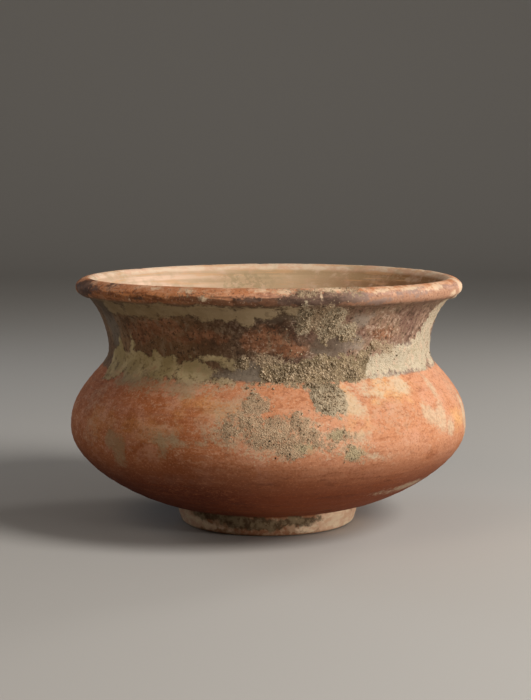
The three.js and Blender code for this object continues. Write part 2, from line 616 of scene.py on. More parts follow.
green_patches = [
    (-66.5, 54.5, 6, 3.2), (-72, 64, 4, 2), (-80, 58, 4, 2),
]

foot_patches = [
    (-132, 9.4, 14, 2.0), (-98, 7.6, 20, 4.0), (-74, 8.4, 14, 3.0), (-113, 8.8, 8, 2.4),
]

foot_pale_patches = [
    (-152, 5, 16, 6), (-126, 3.6, 10, 2.2), (-40, 6, 18, 7), (-62, 3.5, 8, 3), (-12, 6, 12, 7),
]

# %% [markdown]
# Each list becomes a field. The first number after it says how ragged the edges are, and the second,
# where there is one, is the cap.

# %% Fields of all patches
crust = field_of(crust_patches, 1.0, 4.0)
thin = field_of(thin_patches, 1.1, 2.2)
band = field_of(band_patches, 0.9, 1.9)
film = field_of(film_patches, 0.8)
smear = field_of(smear_patches, 0.9, 1.6)
veil = field_of(veil_patches, 1.6, 0.8)
sparse = field_of(sparse_patches, 1.3, 0.4)
yellow = field_of(yellow_patches, 2.0)
grey = field_of(grey_patches, 0.9)
red = field_of(red_patches, 1.2)
lip_dark = field_of(lip_dark_patches, 0.45)
lip_pale = field_of(lip_pale_patches, 0.25, 1.2)
green = field_of(green_patches, 0.6)
foot_dirt = field_of(foot_patches, 0.6)
foot_pale = field_of(foot_pale_patches, 0.6)
print("share of the outside under crust:", round(float((crust[outside] > 0).mean()), 3))

# %% [markdown]
# The cream band at the right ends in a crisp step just above the corner. The neck is burnt brown all
# the way round, from that corner up to the lip.

# %% Band edge and burnt neck
BAND_FROM = 89.7
BURNT_FROM, BURNT_TO = 89.4, 129.6

band = np.minimum(band, height - BAND_FROM + 0.5 * fine_grain)
burnt = np.minimum(height - BURNT_FROM, BURNT_TO - height) + 0.8 * fine_grain
burnt = np.where(outside, burnt, FAR_OUT)
print("share of the outside that is burnt:", round(float((burnt[outside] > 0).mean()), 3))

# %% [markdown]
# The back is not in the picture. It is given the same kinds of stain, plainer: a broken band of dried
# mud at the foot of the burnt neck and a few thin patches of soil on the belly.


# %% Back
def ring(up, tall):
    """Distance in millimetres to the edges of a band that runs all the way round."""
    return tall - np.abs(height - up)


def only_behind(field, added):
    """Adds a field to another, at the back of the bowl only."""
    behind = smoothstep(np.cos(from_front), 0.25, -0.25)
    return np.where(outside, np.maximum(field, added - 16 * (1 - behind)), field)


film = only_behind(film, ring(94, 6.5) + 7 * broad_grain + 4 * middle_grain + 2 * fine_grain - 2.5)
red = only_behind(red, ring(112, 9) + 9 * broad_grain + 2 * middle_grain - 5)
soil_islands = 14 * grain(34, 7) + 4 * middle_grain - 8.5 - np.abs(height - 84) * 0.12
thin = only_behind(thin, soil_islands)
veil = only_behind(veil, soil_islands + 3)

# %% [markdown]
# ## Relief
#
# The soil stands up to nearly a millimetre and a half proud of the clay, thickest in the lumpy band at
# the foot of the neck. The clay itself keeps faint ridges from the potter's fingers, stronger inside,
# and the lip is worn and chipped.


# %% Raised soil and worn clay
def ridges(pitch, deep, wander):
    """Ridges left by fingers, one pitch apart in height, that wander a little."""
    return np.sin(height * 2 * math.pi / pitch + wander * broad_grain) * deep


def raised(field, start, full, least, lumpy):
    """The height of one kind of soil, which it reaches where the field passes from start to full."""
    return smoothstep(field, start, full) * (least + lumpy * lumps)


CHIP_EDGE, CHIP_DEPTH = 0.42, 1.6
lumps = np.clip(0.55 + 0.5 * fine_grain + 0.5 * middle_grain, 0, 1.4)
crust_depth = raised(crust, -0.4, 3.2, 0.35, 0.75)
thin_depth = raised(thin, -0.6, 2.5, 0.12, 0.4)
band_depth = raised(band, -0.3, 0.9, 0.4, 0.3)
film_depth = raised(film, -0.3, 0.8, 0.2, 0)
soil_depth = np.maximum.reduce([crust_depth, thin_depth, band_depth, film_depth])
finger_ridges = ridges(3.6, 0.05, 0.9)
inner_ridges = ridges(7.5, 0.22, 1.4)
lip_zone = smoothstep(height, 126, 130) * outside
chips = np.clip(grain(4.5, 5) - CHIP_EDGE, 0, 1) * CHIP_DEPTH * lip_zone
dents = 0.14 * broad_grain + 0.05 * fine_grain

relief = np.where(outside, soil_depth + finger_ridges + dents - chips, 0)
relief = np.where(inside, inner_ridges + dents, relief)
relief = relief * smoothstep(height, 0.3, 3.0) * smoothstep(radius, 6, 18)
print("relief in millimetres:", round(float(relief.min()), 2), "to", round(float(relief.max()), 2))

# %% [markdown]
# Everything is moved along the wall's own normal. Then the departures from a true circle are put back,
# and nothing may pass the solid's own box.

# %% Moving the wall
moved_r = radius + normal_r * relief
moved_z = height + normal_z * relief
high = smoothstep(height, BELLY_HEIGHT, SHOULDER_HEIGHT)
stretch = 1 + MOUTH_OVAL / THROAT_RADIUS * high * np.sin(2 * angle)
new = np.empty((count, 3))
new[:, 0] = moved_r * np.cos(angle) * stretch + sideways(height) * (radius > 0.001)
new[:, 1] = moved_r * np.sin(angle) * stretch
new[:, 2] = moved_z + rim_rise(angle, height)
lowest, highest = (np.array(corner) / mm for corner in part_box("bowl"))
new = np.clip(new, lowest, highest)
bowl.data.vertices.foreach_set("co", (new * mm).ravel())
bowl.data.update()
print("wall's box in millimetres:", new.min(0).round(2), new.max(0).round(2))

# %% [markdown]
# The fields are stored on the wall as attributes, in millimetres, so the material can mix its paints
# by them and add the finest raggedness itself. A few plain measures go with them: how far right and
# how low a place is, and whether it is on the inner wall, the lip or the foot.


# %% Attributes
def store(name, values):
    """Keeps one value for each vertex of the wall."""
    layer = bowl.data.attributes.new(name, "FLOAT", "POINT")
    layer.data.foreach_set("value", values.astype(np.float32))


fields = {
    "crust": crust, "thin": thin, "band": band, "film": film, "smear": smear, "veil": veil,
    "sparse": sparse, "yellow": yellow, "grey": grey, "red": red, "burnt": burnt, "green": green,
    "lip_dark": lip_dark, "lip_pale": lip_pale, "foot_dirt": foot_dirt, "foot_pale": foot_pale,
}
for name, values in fields.items():
    store(name, values)
store("rightness", smoothstep(np.cos(angle + math.radians(25)), -0.35, 0.95))
store("lowness", smoothstep(height, 9, 11) * (1 - smoothstep(height, 27, 66)))
inner_edge = crest_row - 0.8 - 1.6 * smoothstep(-np.cos(from_front), 0.0, 0.6)
inner = smoothstep(level, inner_edge, inner_edge + 1.2)
store("inner", inner)
store("lip", np.where(outside, smoothstep(height, 128, 130), 0) * (1 - inner))
store("foot", np.where(outside, 1 - smoothstep(height, 10.4, 11.6), 0))
print("attributes:", len(bowl.data.attributes))

# %% [markdown]
# ## Shared effects
#
# Both the wall and the loose crumbs are painted with the same gritty soil, and every stain has the
# same kind of ragged edge, so these effects are node groups. A small helper wires nodes by name.


# %% Node helpers
class Graph:
    """Adds nodes to a tree and links them, so that a material reads as a list of steps."""

    def __init__(self, tree):
        self.tree = tree

    def link(self, source, socket):
        if isinstance(source, (int, float)):
            socket.default_value = source
        elif isinstance(source, tuple):
            socket.default_value = (*source, 1)[: len(socket.default_value)]
        else:
            self.tree.links.new(source, socket)

    def noise(self, vector, scale, detail=3.0, roughness=0.6):
        node = self.tree.nodes.new("ShaderNodeTexNoise")
        self.link(vector, node.inputs["Vector"])
        self.link(scale, node.inputs["Scale"])
        self.link(detail, node.inputs["Detail"])
        self.link(roughness, node.inputs["Roughness"])
        return node.outputs["Fac"]

    def cells(self, vector, scale):
        node = self.tree.nodes.new("ShaderNodeTexVoronoi")
        self.link(vector, node.inputs["Vector"])
        self.link(scale, node.inputs["Scale"])
        return node.outputs["Distance"]

    def scaled(self, vector, factors, turn=(0, 0, 0)):
        node = self.tree.nodes.new("ShaderNodeMapping")
        self.link(vector, node.inputs["Vector"])
        node.inputs["Scale"].default_value = factors
        node.inputs["Rotation"].default_value = turn
        return node.outputs["Vector"]

    def math(self, operation, a, b=0.0, c=0.0):
        node = self.tree.nodes.new("ShaderNodeMath")
        node.operation = operation
        for value, socket in zip((a, b, c), node.inputs):
            self.link(value, socket)
        return node.outputs[0]

    def times(self, a, b):
        return self.math("MULTIPLY", a, b)

    def coordinate(self, vector, axis):
        node = self.tree.nodes.new("ShaderNodeSeparateXYZ")
        self.link(vector, node.inputs[0])
        return node.outputs[axis]

    def step(self, value, low, high, out_low=0.0, out_high=1.0):
        node = self.tree.nodes.new("ShaderNodeMapRange")
        node.interpolation_type = "SMOOTHSTEP"
        names = ("Value", "From Min", "From Max", "To Min", "To Max")
        for name, source in zip(names, (value, low, high, out_low, out_high)):
            self.link(source, node.inputs[name])
        return node.outputs[0]

    def mix(self, factor, a, b):
        node = self.tree.nodes.new("ShaderNodeMix")
        node.data_type = "RGBA"
        self.link(factor, node.inputs[0])
        self.link(a, node.inputs[6])
        self.link(b, node.inputs[7])
        return node.outputs[2]

    def lay(self, under, mask, share, color):
        """Lays a color over another where the mask says, hiding at most the given share."""
        return self.mix(self.times(mask, share), under, color)

    def attribute(self, name):
        node = self.tree.nodes.new("ShaderNodeAttribute")
        node.attribute_name = name
        return node.outputs["Fac"]

    def object_place(self):
        return self.tree.nodes.new("ShaderNodeTexCoord").outputs["Object"]

    def group(self, group_tree, **inputs):
        node = self.tree.nodes.new("ShaderNodeGroup")
        node.node_tree = group_tree
        for name, source in inputs.items():
            self.link(source, node.inputs[name.replace("_", " ").capitalize()])
        return node.outputs


def new_group(name, inputs, outputs):
    """A node group with its sockets, and the graph inside it."""
    tree = bpy.data.node_groups.new(name, "ShaderNodeTree")
    for socket, kind in inputs.items():
        tree.interface.new_socket(socket, in_out="INPUT", socket_type="NodeSocket" + kind)
    for socket, kind in outputs.items():
        tree.interface.new_socket(socket, in_out="OUTPUT", socket_type="NodeSocket" + kind)
    start = tree.nodes.new("NodeGroupInput")
    end = tree.nodes.new("NodeGroupOutput")
    return tree, Graph(tree), start.outputs, end.inputs


# %% [markdown]
# A stain's edge is the place where its distance field crosses zero. The field changes slowly from
# vertex to vertex, so noise is added to it before the step, which breaks the edge up into bays and
# specks. The group also gives the rim of the stain, where old flakes have left dark flecks.

# %% Ragged edge
ragged_edge, g, given, result = new_group(
    "ragged_edge",
    {"Vector": "Vector", "Distance": "Float", "Ragged": "Float", "Soft": "Float", "Scale": "Float"},
    {"Mask": "Float", "Rim": "Float"},
)
coarse = g.math("SUBTRACT", g.noise(given["Vector"], given["Scale"], 4, 0.7), 0.5)
torn = g.math("MULTIPLY_ADD", coarse, given["Ragged"], given["Distance"])
g.link(g.step(torn, g.times(given["Soft"], -1), given["Soft"]), result["Mask"])
g.link(g.step(g.math("ABSOLUTE", torn), 1.2, 0.2), result["Rim"])

# %% [markdown]
# Dry soil is a paste of clay with sand in it. Up close it is a field of pale grains over patches that
# are more olive or more cream. The same noise, finer than a millimetre, sets each grain's color and
# its height in the bump: the pale grains are sand and also painted light on the raised tops, and the
# dark gaps between them are painted shade.

# %% Gritty soil
SOIL_BODY = (0.20, 0.142, 0.078), (0.37, 0.268, 0.16)
PALE_GRAIN_AND_PAINTED_LIGHT = (0.60, 0.50, 0.33)
GAP_PAINTED_SHADE = (0.12, 0.085, 0.045)

gritty_soil, g, given, result = new_group(
    "gritty_soil",
    {"Vector": "Vector", "Grit": "Float"},
    {"Color": "Color", "Height": "Float"},
)
patchy = g.noise(given["Vector"], 110, 3)
body = g.mix(g.step(patchy, 0.38, 0.62), *SOIL_BODY)
grains = g.cells(given["Vector"], 1300)
speck = g.noise(given["Vector"], 1700, 2, 0.6)
# Painted light on the pale grain tops, which are also sand, and painted shade in the gaps.
pale = g.step(speck, 0.54, 0.68)
dark = g.times(g.step(speck, 0.47, 0.34), given["Grit"])
lit = g.lay(body, pale, 0.6, PALE_GRAIN_AND_PAINTED_LIGHT)
g.link(g.mix(dark, lit, GAP_PAINTED_SHADE), result["Color"])
bumpy = g.times(grains, -1)
g.link(g.math("MULTIPLY_ADD", speck, 0.9, bumpy), result["Height"])

# %% [markdown]
# ## The wall's material
#
# The paints go on in the order that they came to the bowl: the fired clay and its wear, the burnt
# neck, the lip, the film of mud, the foot, the soil, and last the flecks and the dust. Most of them
# share a few noises. Where a color has a pair of values, it goes from dark to pale, or from the left
# of the bowl to its right, or from high to low.

# %% Start of the material and its stains
terracotta, shader = new_material("weathered_terracotta", 0.9, 0.12)
g = Graph(terracotta.node_tree)
where = g.object_place()
above = g.coordinate(where, "Z")
rightness = g.attribute("rightness")
lowness = g.attribute("lowness")


def stain(name, ragged, soft, scale=320):
    """The mask and the rim of one kind of stain."""
    distance = g.attribute(name)
    return g.group(ragged_edge, vector=where, distance=distance, ragged=ragged, soft=soft, scale=scale)


def stained(under, name, share, color, ragged, soft, scale=320):
    """Lays a color over another where one kind of stain is."""
    return g.lay(under, stain(name, ragged, soft, scale)["Mask"], share, color)


# %% Shared noises
cloud = g.noise(where, 38, 4, 0.6)
mottle = g.noise(g.scaled(where, (120, 120, 240)), 1, 4, 0.65)
wiped = g.noise(g.scaled(where, (12, 12, 560)), 1, 3, 0.55)
sand = g.noise(where, 820, 3, 0.7)
blotch = g.noise(where, 240, 4, 0.7)
print("nodes for the noises:", len(g.tree.nodes))

# %% [markdown]
# The fired clay is redder at the left and more orange and pink at the right, with ochre clouds on the
# shoulder and a veil of dust. The darker, deeper red at the left is partly the clay's own and partly
# painted shade, for the side away from the lamp.

# %% Fired clay
CLAY_AND_PAINTED_SHADE = (0.40, 0.128, 0.043), (0.585, 0.272, 0.147)
ORANGE = (0.52, 0.20, 0.085)
OCHRE = (0.50, 0.205, 0.065), (0.74, 0.42, 0.17)
PINK = (0.62, 0.315, 0.205)
PALE_MOTTLE = (0.60, 0.31, 0.19)
DARK_MOTTLE = (0.32, 0.10, 0.038)
VEIL = (0.50, 0.35, 0.23)

drift = g.math("MULTIPLY_ADD", g.math("SUBTRACT", cloud, 0.5), 0.8, rightness)
# Painted shade: the left-to-right change also darkens the clay on the side away from the lamp.
clay = g.mix(g.step(drift, 0.1, 0.9), *CLAY_AND_PAINTED_SHADE)
orange = g.step(g.noise(where, 34, 2, 0.5), 0.47, 0.6)
clay = g.lay(clay, orange, 0.5, ORANGE)
clay = stained(clay, "yellow", 0.65, g.mix(rightness, *OCHRE), 8, 4, 160)
pink = g.step(g.noise(where, 75, 3, 0.55), 0.5, 0.66)
pink = g.times(pink, g.step(blotch, 0.4, 0.56, 0.3, 1.0))
clay = g.lay(clay, pink, 0.5, PINK)
clay = g.lay(clay, g.step(mottle, 0.52, 0.72), 0.35, PALE_MOTTLE)
clay = g.lay(clay, g.step(mottle, 0.46, 0.3), 0.4, DARK_MOTTLE)
clay = stained(clay, "veil", 0.3, VEIL, 18, 1, 420)

# %% [markdown]
# Low down the clay is redder, and it is painted darker too, as shade under the belly. Scratches, the
# lines of the wheel, sand in the clay and scuffs break up its surface, in colors that follow the same
# change from high to low.

# %% Worn clay
LOW_CLAY_AND_PAINTED_SHADE = (0.080, 0.013, 0.004), (0.19, 0.042, 0.012)
PALE_SCRATCH = (0.58, 0.36, 0.235)
DARK_SCRATCH = (0.24, 0.075, 0.03)
WHEEL_LINE = (0.20, 0.055, 0.021)
DARK_SAND = (0.17, 0.05, 0.02)
PALE_SAND = (0.66, 0.38, 0.24), (0.38, 0.12, 0.045)
PALE_SCUFF = (0.60, 0.33, 0.20), (0.26, 0.075, 0.026)
DARK_SCUFF = (0.26, 0.075, 0.028), (0.075, 0.018, 0.007)

# Painted shade under the belly, laid over the clay's own redder tone low down.
low_clay_and_shade = g.mix(g.step(drift, 0.1, 0.9), *LOW_CLAY_AND_PAINTED_SHADE)
clay = g.lay(clay, lowness, 0.97, low_clay_and_shade)
scratches = g.noise(g.scaled(where, (220, 220, 420), (0.3, 0.2, 0)), 1, 5, 0.8)
up_high = g.step(lowness, 0.7, 0.1)
pale_scratch = g.times(g.step(scratches, 0.56, 0.62), g.times(up_high, 0.45))
clay = g.mix(pale_scratch, clay, PALE_SCRATCH)
dark_scratch = g.times(g.step(scratches, 0.44, 0.37), g.times(up_high, 0.45))
clay = g.mix(dark_scratch, clay, DARK_SCRATCH)
lines = g.step(rightness, 0.2, 0.9, 0.3, 0.1)
clay = g.lay(clay, g.step(wiped, 0.54, 0.7), lines, WHEEL_LINE)
clay = g.lay(clay, g.step(sand, 0.46, 0.34), 0.4, DARK_SAND)
pale_sand = g.mix(lowness, *PALE_SAND)
clay = g.lay(clay, g.step(sand, 0.55, 0.66), 0.42, pale_sand)
scuffs = g.noise(g.scaled(where, (90, 90, 320)), 1, 4, 0.75)
pale_scuff = g.mix(lowness, *PALE_SCUFF)
clay = g.lay(clay, g.step(scuffs, 0.55, 0.66), 0.42, pale_scuff)
dark_scuff = g.mix(lowness, *DARK_SCUFF)
clay = g.lay(clay, g.step(scuffs, 0.45, 0.34), 0.42, dark_scuff)

# %% [markdown]
# Inside, the clay is paler: pinkish cream on the left wall, buff with olive streaks at the back and
# browner at the right, with the lines that the potter's fingers left. The cream of the left wall is
# painted pale, as light where the lamp shines in over the rim, and the brown at the right is painted
# shade.

# %% Inner wall
PAINTED_LIGHT_CREAM_TO_BUFF = (0.85, 0.60, 0.44), (0.57, 0.40, 0.245)
INNER_PAINTED_SHADE = (0.31, 0.165, 0.073)
INNER_LINE = (0.38, 0.265, 0.14)
INNER_PINK = (0.74, 0.44, 0.31)
CREST = (0.74, 0.47, 0.32), (0.84, 0.68, 0.50)
INNER_PALE = (0.74, 0.54, 0.40)
INNER_CLOUD = (0.42, 0.32, 0.185)
WARM_STREAK = (0.66, 0.38, 0.19)
OLIVE_SMEAR = (0.33, 0.255, 0.135)

across = g.coordinate(where, "X")
inner_lines = g.noise(g.scaled(where, (9, 9, 320)), 1, 3, 0.5)
# Painted light on the left inner wall and painted shade on the right one.
buff = g.mix(g.step(across, -0.075, -0.01), *PAINTED_LIGHT_CREAM_TO_BUFF)
buff = g.mix(g.step(across, 0.01, 0.08), buff, INNER_PAINTED_SHADE)
buff = g.lay(buff, g.step(inner_lines, 0.47, 0.62), 0.5, INNER_LINE)
buff = g.lay(buff, pink, 0.4, INNER_PINK)
crest_band = g.step(above, 133.5 * mm, 135.5 * mm, 0.0, 0.7)
buff = g.mix(crest_band, buff, g.mix(g.step(mottle, 0.4, 0.6), *CREST))
buff = g.lay(buff, g.step(mottle, 0.5, 0.7), 0.4, INNER_PALE)
buff = g.lay(buff, g.step(cloud, 0.46, 0.36), 0.45, INNER_CLOUD)
near_middle = g.step(g.math("ABSOLUTE", g.math("ADD", across, 0.014)), 0.024, 0.006)
near_middle = g.times(near_middle, g.step(above, 134 * mm, 131 * mm))
olive_smear = g.times(near_middle, g.step(blotch, 0.46, 0.54, 0.1, 0.6))
warm_streak = g.step(g.noise(g.scaled(where, (25, 25, 420)), 1, 3, 0.6), 0.54, 0.62, 0.0, 0.5)
buff = g.mix(warm_streak, buff, WARM_STREAK)
buff = g.mix(olive_smear, buff, OLIVE_SMEAR)
clay = g.mix(g.attribute("inner"), clay, buff)

# %% [markdown]
# The burnt neck is not one brown: redder islands show through, with pale flecks, and some places are
# smooth and grey. It is blackest in front and browner at the sides, and a painted brown shade darkens
# it just under the lip.

# %% Burnt neck
LEFT_CHAR = (0.16, 0.084, 0.040), (0.25, 0.145, 0.072)
FRONT_CHAR = (0.062, 0.032, 0.018), (0.110, 0.064, 0.038)
SIDE_CHAR = (0.215, 0.118, 0.084), (0.32, 0.195, 0.13)
CHAR_MOTTLE = (0.25, 0.16, 0.098)
SIDE_DARK = (0.13, 0.072, 0.050)
SIDE_PALE = (0.50, 0.36, 0.265)
RED_BROWN = (0.19, 0.075, 0.034), (0.34, 0.15, 0.076)
PALE_STREAK = (0.26, 0.185, 0.115)
DARK_STREAK = (0.060, 0.034, 0.020)
PALE_GRIT = (0.56, 0.42, 0.31)
DARK_GRIT = (0.045, 0.024, 0.014)
SMOOTH_GREY = (0.105, 0.076, 0.052), (0.18, 0.148, 0.112)
RIGHT_GREY = (0.46, 0.37, 0.29)
GREY_GRIT = (0.055, 0.033, 0.021)
UNDER_LIP_PAINTED_SHADE = (0.13, 0.085, 0.048)

fleck_noise = g.noise(where, 800, 3, 0.7)
left_char = g.mix(g.step(cloud, 0.42, 0.6), *LEFT_CHAR)
front_char = g.mix(g.step(cloud, 0.42, 0.6), *FRONT_CHAR)
side_char = g.mix(g.step(cloud, 0.42, 0.58), *SIDE_CHAR)
to_the_side = g.step(rightness, 0.68, 1.0)
char = g.mix(g.step(rightness, 0.05, 0.5), left_char, front_char)
char = g.mix(to_the_side, char, side_char)
char = g.lay(char, g.step(mottle, 0.5, 0.66), 0.35, CHAR_MOTTLE)
side_dark = g.times(g.step(blotch, 0.47, 0.37), g.times(to_the_side, 0.5))
char = g.mix(side_dark, char, SIDE_DARK)
side_pale = g.times(g.step(blotch, 0.55, 0.65), g.times(to_the_side, 0.4))
char = g.mix(side_pale, char, SIDE_PALE)
red_brown = g.mix(g.step(mottle, 0.4, 0.6), *RED_BROWN)
char = stained(char, "red", 0.75, red_brown, 7, 1.6)
grit_noise = g.noise(where, 480, 3, 0.78)
grit_share = g.step(rightness, 0.25, 0.9, 0.12, 0.75)
pale_grit = g.times(g.step(grit_noise, 0.55, 0.64), grit_share)
pale_grit = g.times(pale_grit, g.step(cloud, 0.40, 0.56, 0.15, 1.0))
streaks = g.noise(g.scaled(where, (230, 230, 80), (0.5, 0.4, 0)), 1, 4, 0.7)
char = g.lay(char, g.step(streaks, 0.53, 0.64), 0.5, PALE_STREAK)
char = g.lay(char, g.step(streaks, 0.46, 0.36), 0.5, DARK_STREAK)
char = g.mix(pale_grit, char, PALE_GRIT)
char = g.lay(char, g.step(grit_noise, 0.45, 0.36), 0.7, DARK_GRIT)
smooth_grey = g.mix(g.step(cloud, 0.4, 0.6), *SMOOTH_GREY)
smooth_grey = g.mix(g.step(rightness, 0.9, 1.0, 0.0, 0.6), smooth_grey, RIGHT_GREY)
char = stained(char, "grey", 0.8, smooth_grey, 6, 1.6)
char = g.lay(char, g.step(grit_noise, 0.45, 0.38), 0.4, GREY_GRIT)
# Painted shade: the neck turns dark brown just under the lip, where its shadow falls.
shade_share = g.step(to_the_side, 0.0, 1.0, 0.65, 0.35)
shaded = g.step(above, 119 * mm, 126 * mm, 0.0, shade_share)
char = g.mix(shaded, char, UNDER_LIP_PAINTED_SHADE)
painted = g.mix(stain("burnt", 2.0, 0.8)["Mask"], clay, char)

# %% [markdown]
# The lip is the part that hands wore most, so its colors change along it. Its top is painted paler, as
# light falling from above, and its underside is painted dark, as shade under the roll, least so at the
# far left.

# %% Lip
LEFT_FACE = (0.42, 0.145, 0.052), (0.84, 0.34, 0.13)
RIGHT_FACE = (0.34, 0.20, 0.152), (0.54, 0.315, 0.225)
LIP_TOP_PAINTED_LIGHT = (0.50, 0.20, 0.088), (0.68, 0.385, 0.23)
LIP_BRIGHT = (0.70, 0.40, 0.24)
LIP_BLOT = (0.13, 0.055, 0.028), (0.44, 0.27, 0.20)
LIP_UNDERSIDE_PAINTED_SHADE = (0.080, 0.036, 0.019), (0.40, 0.21, 0.125)
DARK_FLECK = (0.10, 0.055, 0.035)
PALE_FLECK = (0.70, 0.52, 0.38)
LIP_BROWN = (0.060, 0.037, 0.028), (0.16, 0.10, 0.074)
RIGHT_BROWN = (0.30, 0.205, 0.165)

along_lip = g.noise(g.scaled(where, (60, 60, 420)), 1, 4, 0.65)
uneven = g.math("MULTIPLY_ADD", g.math("SUBTRACT", along_lip, 0.5), 9 * mm, above)
face = g.mix(g.step(along_lip, 0.38, 0.6), *LEFT_FACE)
right_face = g.mix(g.step(along_lip, 0.42, 0.6), *RIGHT_FACE)
face = g.mix(rightness, face, right_face)
lip_top_light = g.mix(g.step(mottle, 0.42, 0.62), *LIP_TOP_PAINTED_LIGHT)
face = g.lay(face, g.step(blotch, 0.53, 0.62), 0.6, LIP_BRIGHT)
lip_blot = g.mix(rightness, *LIP_BLOT)
face = g.lay(face, g.step(blotch, 0.46, 0.38), 0.65, lip_blot)
# Painted light on the top of the lip, then painted shade on its underside.
lip_color = g.mix(g.step(uneven, 134.3 * mm, 136.6 * mm), face, lip_top_light)
lip_underside_shade = g.step(uneven, 134.4 * mm, 132.4 * mm)
lip_underside_shade_color = g.mix(g.step(rightness, 0.85, 1.0), *LIP_UNDERSIDE_PAINTED_SHADE)
lip_underside_shade_share = g.step(rightness, 0.0, 0.4, 0.5, 0.82)
lip_color = g.lay(lip_color, lip_underside_shade, lip_underside_shade_share, lip_underside_shade_color)
lip_color = g.lay(lip_color, g.step(fleck_noise, 0.43, 0.35), 0.8, DARK_FLECK)
lip_color = g.lay(lip_color, g.step(fleck_noise, 0.6, 0.68), 0.5, PALE_FLECK)
painted = g.lay(painted, g.attribute("lip"), 0.92, lip_color)
lip_brown = g.mix(g.step(mottle, 0.4, 0.65), *LIP_BROWN)
lip_brown = g.mix(g.step(rightness, 0.88, 1.0), lip_brown, RIGHT_BROWN)
painted = stained(painted, "lip_dark", 0.86, lip_brown, 6, 0.7, 420)

# %% [markdown]
# The mud film is smooth. Its edge is crisp and has lost flakes, and its lower band is mottled and
# turns brown towards the middle. The smears are the same mud, rubbed thin.

# %% Mud film and smears
MUD = (0.36, 0.275, 0.125), (0.53, 0.42, 0.225)
MUD_PAINTED_SHADE = (0.24, 0.155, 0.082)
RIGHT_MUD = (0.50, 0.40, 0.26)
DARK_MUD = (0.15, 0.10, 0.055)
BROWN_MUD = (0.13, 0.075, 0.036)
RED_MUD = (0.42, 0.24, 0.12)
MIDDLE_MUD = (0.19, 0.14, 0.078)
FLAKE = (0.055, 0.03, 0.018)
SMEAR = (0.29, 0.22, 0.125), (0.60, 0.49, 0.335)
SMEAR_GRIT = (0.30, 0.22, 0.13)

film_stain = stain("film", 4.0, 0.8)
mud = g.mix(g.step(g.noise(where, 120, 3), 0.4, 0.62), *MUD)
# Painted shade: the mud darkens under the lip, where its shadow falls.
under_lip = g.step(above, 112 * mm, 120 * mm)
mud = g.lay(mud, under_lip, 0.7, MUD_PAINTED_SHADE)
mud = g.lay(mud, rightness, 0.6, RIGHT_MUD)
mud = g.lay(mud, g.step(mottle, 0.45, 0.33), 0.5, DARK_MUD)
low_film = g.step(above, 104 * mm, 94 * mm, 0.0, 0.55)
mud = g.lay(mud, low_film, g.step(blotch, 0.45, 0.38), BROWN_MUD)
mud = g.lay(mud, low_film, g.step(blotch, 0.56, 0.64), RED_MUD)
towards_middle = g.step(rightness, 0.08, 0.3)
mud = g.lay(mud, low_film, towards_middle, MIDDLE_MUD)
painted = g.lay(painted, film_stain["Mask"], 0.9, mud)
flakes = g.times(film_stain["Rim"], g.step(fleck_noise, 0.5, 0.58))
painted = g.lay(painted, flakes, 0.75, FLAKE)
smear_color = g.mix(rightness, *SMEAR)
smear_color = g.lay(smear_color, g.step(grit_noise, 0.52, 0.42), 0.5, SMEAR_GRIT)
painted = stained(painted, "smear", 0.6, smear_color, 9, 1.8, 600)

# %% [markdown]
# The foot is beige, with cream places at both of its ends and dirt in front.

# %% Foot
FOOT_CLAY = (0.33, 0.15, 0.075), (0.50, 0.33, 0.205)
FOOT_CREAM = (0.80, 0.52, 0.34), (0.92, 0.73, 0.51)
FOOT_DIRT = (0.060, 0.043, 0.022), (0.20, 0.15, 0.082)

foot_beige = g.mix(g.step(blotch, 0.42, 0.6), *FOOT_CLAY)
painted = g.lay(painted, g.attribute("foot"), 0.9, foot_beige)
foot_cream = g.mix(g.step(mottle, 0.4, 0.6), *FOOT_CREAM)
painted = stained(painted, "foot_pale", 0.85, foot_cream, 5, 1)
dirt = g.mix(g.step(blotch, 0.40, 0.60), *FOOT_DIRT)
painted = stained(painted, "foot_dirt", 0.85, dirt, 6, 0.8)

# %% [markdown]
# The cream band and the crust are rough and hide what is under them. The thin soil on the belly is
# broken into specks with clay between them, single grains lie around it, and a few lumps are greener.

# %% Band and crust
CREAM = (0.80, 0.70, 0.52)
CREAM_GRIT = (0.36, 0.27, 0.18)
CREAM_PINK = (0.66, 0.43, 0.30)
CREAM_OLIVE = (0.44, 0.37, 0.24)
SPARSE = (0.36, 0.26, 0.15), (0.62, 0.47, 0.32)
THIN_SOIL = (0.54, 0.39, 0.265)
GREEN = (0.36, 0.36, 0.20)
PALE_CRUST = (0.68, 0.57, 0.41)
CRUST_GAP_PAINTED_SHADE = (0.13, 0.095, 0.055)

soil = g.group(gritty_soil, vector=where, grit=0.75)
thin_soil = g.group(gritty_soil, vector=where, grit=0.25)
band_mask = stain("band", 11.0, 0.9, 420)["Mask"]
cream = g.mix(0.55, g.mix(0.5, thin_soil["Color"], soil["Color"]), CREAM)
cream = g.lay(cream, g.step(grit_noise, 0.46, 0.38), 0.6, CREAM_GRIT)
cream = g.lay(cream, g.step(blotch, 0.53, 0.64), 0.5, CREAM_PINK)
cream = g.lay(cream, g.step(mottle, 0.46, 0.34), 0.5, CREAM_OLIVE)
painted = g.lay(painted, band_mask, 0.93, cream)
painted = stained(painted, "sparse", 0.5, g.mix(rightness, *SPARSE), 22, 1, 620)
thin_mask = g.times(stain("thin", 16.0, 0.9, 560)["Mask"], 0.8)
painted = g.mix(thin_mask, painted, g.mix(0.3, soil["Color"], THIN_SOIL))
painted = stained(painted, "green", 0.35, GREEN, 6, 1.5)
crust_mask = stain("crust", 7.5, 0.7, 420)["Mask"]
lighter = g.step(above, 91 * mm, 84 * mm, 0.0, 0.4)
lighter = g.math("MAXIMUM", lighter, g.step(above, 108 * mm, 113 * mm, 0.0, 0.4))
crust_color = g.mix(lighter, soil["Color"], PALE_CRUST)
